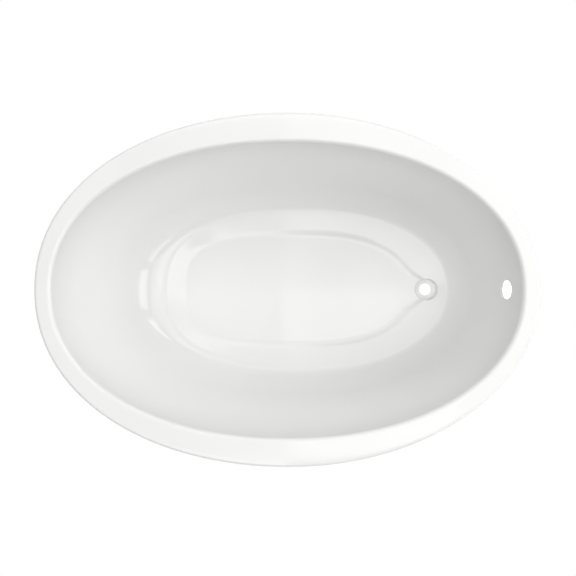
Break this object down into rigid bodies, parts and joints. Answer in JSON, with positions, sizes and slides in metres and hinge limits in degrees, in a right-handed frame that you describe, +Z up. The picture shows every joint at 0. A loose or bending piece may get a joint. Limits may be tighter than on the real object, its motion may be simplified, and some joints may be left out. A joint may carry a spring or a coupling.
{
  "type": "freestanding bathtub",
  "caption": "Oval acrylic bathtub with a flat rim and a sunken footwell, bonded into a skirt on a steel floor frame with screw feet.",
  "frame": {"origin": "on the floor, under the middle of the rim", "axes": "+X along the bath from the head end to the drain end, +Y towards the bather's left when they face the drain, +Z up"},
  "size_m": [1.5239, 1.0659, 0.584],
  "materials": {
    "white_acrylic": "gloss",
    "glass_fibre": "rough",
    "adhesive": "satin",
    "resin_bed": "matt",
    "plywood": "raw",
    "galvanised_steel": "galvanised",
    "zinc_plated_steel": "bright zinc",
    "black_plastic": "moulded",
    "foot_rubber": "moulded"
  },
  "bodies": {
    "root": {"basin": "white_acrylic", "basin_laminate": "glass_fibre", "skirt": "white_acrylic", "skirt_laminate": "glass_fibre", "rim_bond": "adhesive", "bedding": "resin_bed", "base_board": "plywood", "cross_tube_head": "galvanised_steel", "cross_tube_middle": "galvanised_steel", "cross_tube_drain": "galvanised_steel", "side_bar_left": "galvanised_steel", "side_bar_right": "galvanised_steel", "tube_caps": "black_plastic", "foot_inserts": "zinc_plated_steel", "bar_inserts": "zinc_plated_steel", "bar_bolts": "zinc_plated_steel", "board_screws": "zinc_plated_steel", "tie_left": "zinc_plated_steel", "tie_block_left": "plywood", "tie_right": "zinc_plated_steel", "tie_block_right": "plywood", "tie_head_left": "zinc_plated_steel", "tie_block_head_left": "plywood", "tie_head_right": "zinc_plated_steel", "tie_block_head_right": "plywood", "tie_drain_left": "zinc_plated_steel", "tie_block_drain_left": "plywood", "tie_drain_right": "zinc_plated_steel", "tie_block_drain_right": "plywood", "tie_bolts": "zinc_plated_steel", "tie_nuts": "zinc_plated_steel", "tie_screws": "zinc_plated_steel", "jam_nut_head_left": "zinc_plated_steel", "jam_nut_head_right": "zinc_plated_steel", "jam_nut_centre": "zinc_plated_steel", "jam_nut_drain_left": "zinc_plated_steel", "jam_nut_drain_right": "zinc_plated_steel"},
    "pad_head_left": {"foot_pad_head_left": "foot_rubber"},
    "stud_head_left": {"foot_stud_head_left": "zinc_plated_steel"},
    "pad_head_right": {"foot_pad_head_right": "foot_rubber"},
    "stud_head_right": {"foot_stud_head_right": "zinc_plated_steel"},
    "pad_centre": {"foot_pad_centre": "foot_rubber"},
    "stud_centre": {"foot_stud_centre": "zinc_plated_steel"},
    "pad_drain_left": {"foot_pad_drain_left": "foot_rubber"},
    "stud_drain_left": {"foot_stud_drain_left": "zinc_plated_steel"},
    "pad_drain_right": {"foot_pad_drain_right": "foot_rubber"},
    "stud_drain_right": {"foot_stud_drain_right": "zinc_plated_steel"}
  },
  "joints": [
    {"name": "foot_height_head_left", "type": "slide", "parent": "root", "child": "pad_head_left", "axis": [0, 0, -1], "range_m": [-0.004, 0.02]},
    {"name": "foot_turn_head_left", "type": "hinge", "parent": "pad_head_left", "child": "stud_head_left", "pos_m": [-0.281, 0.27313, 0.03], "axis": [0, 0, -1], "range_deg": [-839.3, 4196.6]},
    {"name": "foot_height_head_right", "type": "slide", "parent": "root", "child": "pad_head_right", "axis": [0, 0, -1], "range_m": [-0.004, 0.02]},
    {"name": "foot_turn_head_right", "type": "hinge", "parent": "pad_head_right", "child": "stud_head_right", "pos_m": [-0.281, -0.27313, 0.03], "axis": [0, 0, -1], "range_deg": [-839.3, 4196.6]},
    {"name": "foot_height_centre", "type": "slide", "parent": "root", "child": "pad_centre", "axis": [0, 0, -1], "range_m": [-0.004, 0.02]},
    {"name": "foot_turn_centre", "type": "hinge", "parent": "pad_centre", "child": "stud_centre", "pos_m": [0.03, 0, 0.03], "axis": [0, 0, -1], "range_deg": [-839.3, 4196.6]},
    {"name": "foot_height_drain_left", "type": "slide", "parent": "root", "child": "pad_drain_left", "axis": [0, 0, -1], "range_m": [-0.004, 0.02]},
    {"name": "foot_turn_drain_left", "type": "hinge", "parent": "pad_drain_left", "child": "stud_drain_left", "pos_m": [0.341, 0.27313, 0.03], "axis": [0, 0, -1], "range_deg": [-839.3, 4196.6]},
    {"name": "foot_height_drain_right", "type": "slide", "parent": "root", "child": "pad_drain_right", "axis": [0, 0, -1], "range_m": [-0.004, 0.02]},
    {"name": "foot_turn_drain_right", "type": "hinge", "parent": "pad_drain_right", "child": "stud_drain_right", "pos_m": [0.341, -0.27313, 0.03], "axis": [0, 0, -1], "range_deg": [-839.3, 4196.6]}
  ],
  "couplings": [
    {"joint": "foot_turn_head_left", "follows": "foot_height_head_left", "rad_per_m": 3590.4},
    {"joint": "foot_turn_head_right", "follows": "foot_height_head_right", "rad_per_m": 3590.4},
    {"joint": "foot_turn_centre", "follows": "foot_height_centre", "rad_per_m": 3590.4},
    {"joint": "foot_turn_drain_left", "follows": "foot_height_drain_left", "rad_per_m": 3590.4},
    {"joint": "foot_turn_drain_right", "follows": "foot_height_drain_right", "rad_per_m": 3590.4}
  ]
}
